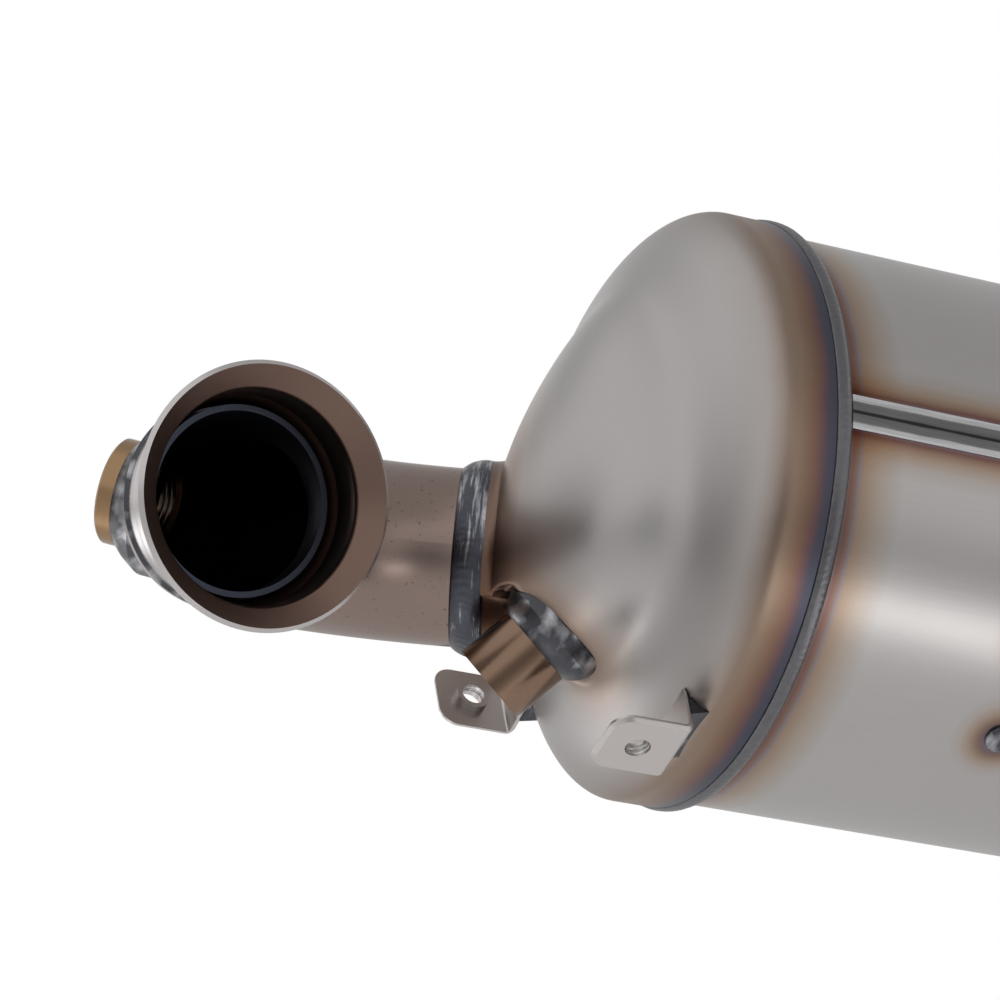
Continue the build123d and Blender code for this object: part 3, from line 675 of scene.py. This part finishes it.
def make_head():
    """The head's sheet, outside and inside, with the tap's hole left open."""
    loops = head_rows(0, OUTSIDE_ROWS) + head_rows(SHEET, INSIDE_ROWS)[::-1]
    points, faces = np.concatenate(loops) * MM, []
    for i in range(len(loops)):
        a, b = i * COLUMNS, (i + 1) % len(loops) * COLUMNS
        for j in range(COLUMNS):
            k = (j + 1) % COLUMNS
            offset = Vector(points[a + j]) - TAP_SEAT
            height = offset.dot(TAP_AXIS)
            in_hole = (offset - TAP_AXIS * height).length < TAP_HOLE_R * MM
            if not (in_hole and abs(height) < TAP_HOLE_DEEP * MM):
                faces.append((a + j, b + j, b + k, a + k))
    piece = add_mesh("inlet_head", points, faces, head_steel)
    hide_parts("inlet_cone")


make_head()


# Threads: a ridge's outline, as shares of the thread's depth and of its pitch
RIDGE = ((0, 0), (1, 0.42), (1, 0.55), (0, 0.96))
TURN_STEPS, FADE_STEPS = 48, 24
TAPPED_SINK = 0.4


def thread(name, mouth, outward, radius, pitch, length, depth, material=thread_steel):
    """A helical ridge that stands in from a bore's wall, from its mouth down."""
    side, up = frame_of(outward)
    steps = int(length / pitch * TURN_STEPS)
    points, faces = [], []
    for i in range(steps + 1):
        angle = 2 * math.pi * i / TURN_STEPS
        fall = length * i / steps
        fade = min(1, i / FADE_STEPS, (steps - i) / FADE_STEPS)
        spoke = side * math.cos(angle) + up * math.sin(angle)
        for inward, along in RIDGE:
            place = spoke * (radius - depth * fade * inward) - outward * (fall + along * pitch)
            points.append(mouth + place * MM)
    for i in range(steps):
        for j in range(len(RIDGE) - 1):
            a = i * len(RIDGE) + j
            b = a + len(RIDGE)
            faces.append((a, a + 1, b + 1, b))
    add_mesh(name, points, faces, material)


# The elbow thread is darkened as painted shade of its bore
thread("elbow_thread", ELBOW_POINT + ELBOW_AXIS * ELBOW_BOSS_TALL * MM, ELBOW_AXIS,
       radius=8.25, pitch=1.5, length=13.0, depth=0.7, material=bore_tint_and_painted_shade)
thread("inlet_tap_thread", TAP_SEAT + TAP_AXIS * TAP_BOSS_TALL * MM, TAP_AXIS,
       radius=6.25, pitch=1.5, length=17.0, depth=0.7)
for name, (height, angle) in BRACKETS.items():
    out = round_can(angle)
    hole = INLET_TOE + (TO_INLET * height + out * BRACKET_HOLE_OUT) * MM
    thread(f"{name}_bracket_thread", hole - out * TAPPED_SINK * MM, out,
           radius=3.35, pitch=1.25, length=2.4, depth=0.45)


# Studio, with lengths in metres
CENTRE = Vector((-0.30, 0, -0.02))
FLOOR_HALF, FLOOR_AT, FLOOR_GLOW = 90, -1.4, 0.8
SURROUND_LIGHT = 0.75
LAMP_SIDE = 1.2


def rectangle(name, w, h, z=0.0):
    """A flat object, by its half width, half height and level."""
    mesh = bpy.data.meshes.new(name)
    mesh.from_pydata([(-w, -h, z), (w, -h, z), (w, h, z), (-w, h, z)], [], [(0, 1, 2, 3)])
    piece = bpy.data.objects.new(name, mesh)
    bpy.context.scene.collection.objects.link(piece)
    return piece


def make_floor():
    """White paper, which the camera sees as almost evenly lit."""
    floor = rectangle("floor", FLOOR_HALF, FLOOR_HALF, FLOOR_AT)
    g = Graph("floor_paper")
    white = g.blend(g.noise(40, detail=2.0), (0.86, 0.86, 0.86), (0.88, 0.88, 0.88))
    paper = g.surface(white, 0.9, metallic=0.0)
    seen = g.node("ShaderNodeLightPath").outputs["Is Camera Ray"]
    g.either_shader(g.math("MULTIPLY", seen, FLOOR_GLOW), paper, g.node("ShaderNodeEmission"))
    floor.data.materials.append(g.material)


def make_surround():
    """White all round for the camera and for reflections, and a little dimmer as a light."""
    world = bpy.data.worlds.new("studio")
    bpy.context.scene.world = world
    world.use_nodes = True
    nodes, links = world.node_tree.nodes, world.node_tree.links
    nodes.clear()
    path = nodes.new("ShaderNodeLightPath").outputs

    def either(a, b):
        made = nodes.new("ShaderNodeMath")
        made.operation = "MAXIMUM"
        links.new(a, made.inputs[0])
        links.new(b, made.inputs[1])
        return made.outputs[0]

    reflected = either(path["Is Glossy Ray"], path["Is Transmission Ray"])
    mixed = nodes.new("ShaderNodeMixShader")
    links.new(either(path["Is Camera Ray"], reflected), mixed.inputs[0])
    for socket, level in ((1, SURROUND_LIGHT), (2, 1.0)):
        light = nodes.new("ShaderNodeBackground")
        light.inputs["Color"].default_value = (level, level, level, 1)
        links.new(light.outputs[0], mixed.inputs[socket])
    links.new(mixed.outputs[0], nodes.new("ShaderNodeOutputWorld").inputs[0])


def aimed(place):
    """Where something stands that faces the middle of the filter."""
    turn = (CENTRE - Vector(place)).to_track_quat("-Z", "Y").to_matrix().to_4x4()
    return Matrix.Translation(place) @ turn


def lamp(name, place, power):
    light = bpy.data.lights.new(name, "AREA")
    light.shape = "RECTANGLE"
    light.size = light.size_y = LAMP_SIDE
    light.energy = power
    piece = bpy.data.objects.new(name, light)
    piece.matrix_world = aimed(place)
    piece.visible_camera = piece.visible_glossy = False
    bpy.context.scene.collection.objects.link(piece)


def card(name, offset, width, height, level, soft):
    """A panel with soft edges that only the metal's reflections see, as a studio's flags are."""
    w, h = width / 2, height / 2
    piece = rectangle(name, w, h)
    g = Graph(name)
    glow = g.node("ShaderNodeEmission")
    glow.inputs["Color"].default_value = (level, level, level, 1)
    parts = g.apart(g.position)
    fades = []
    for axis, half in (("X", w), ("Y", h)):
        inward = g.math("SUBTRACT", half, g.math("ABSOLUTE", parts[axis]))
        share = g.math("DIVIDE", inward, min(half, soft), clamp=True)
        fades.append(g.math("MULTIPLY", g.math("MULTIPLY", share, share),
                            g.math("SUBTRACT", 3.0, g.math("MULTIPLY", share, 2.0))))
    g.either_shader(g.math("MULTIPLY", *fades), g.node("ShaderNodeBsdfTransparent"), glow)
    piece.data.materials.append(g.material)
    piece.matrix_world = aimed(CENTRE + offset)
    piece.visible_camera = piece.visible_diffuse = piece.visible_shadow = False


make_floor()
make_surround()

# Each card has its offset from the middle, width, height, brightness and soft edge
for name, offset, *look in (
        ("camera_flag", Vector((-0.12, -0.98, -0.13)) * 1.1, 1.6, 1.1, 0.24, 0.7),
        ("left_flag", Vector((-1.2, 0.25, 0.0)), 1.5, 1.2, 0.42, 0.6),
        ("back_screen", Vector((0.2, 0.95, 0.72)), 3.0, 0.9, 0.60, 0.4),
        ("top_screen", Vector((0.2, 0.0, 1.0)), 3.4, 1.8, 0.62, 0.5),
        ("low_strip", Vector((0.62, -0.59, -0.49)) * 0.95, 1.4, 0.31, 3.2, 0.15),
        ("under_screen", Vector((0.1, 0.1, -1.0)), 3.0, 1.4, 0.85, 0.5),
        ("under_left", Vector((-0.55, 0.10, -0.95)), 0.9, 0.8, 1.7, 0.4),
        ("back_left", Vector((-0.60, 0.76, -0.30)) * 1.2, 0.6, 0.6, 3.2, 0.3)):
    card(name, offset, *look)
lamp("left_box", (-1.4, -1.0, 1.2), 20)
lamp("right_box", (1.2, -0.8, 1.4), 14)


# Camera, with its place in millimetres from the rim and its lens in widths of the picture
CAMERA_FROM_RIM = Vector((-452.471, -1004.138, -172.285))
CAMERA_RIGHT = Vector((0.91682, -0.37761, 0.12980))
CAMERA_UP = Vector((-0.17692, -0.09274, 0.97985))
CAMERA_BACK = Vector((-0.35797, -0.92131, -0.15183))
LENS_WIDTHS, SENSOR = 4.13976, 36.0

camera_data = bpy.data.cameras.new("camera")
camera_data.sensor_width = SENSOR
camera_data.lens = SENSOR * LENS_WIDTHS
camera = bpy.data.objects.new("camera", camera_data)
columns = (CAMERA_RIGHT, CAMERA_UP, CAMERA_BACK, INLET_TOE + CAMERA_FROM_RIM * MM)
camera.matrix_world = Matrix((*zip(*columns), (0, 0, 0, 1)))
bpy.context.scene.collection.objects.link(camera)
bpy.context.scene.camera = camera
bpy.context.scene.view_settings.view_transform = "Standard"
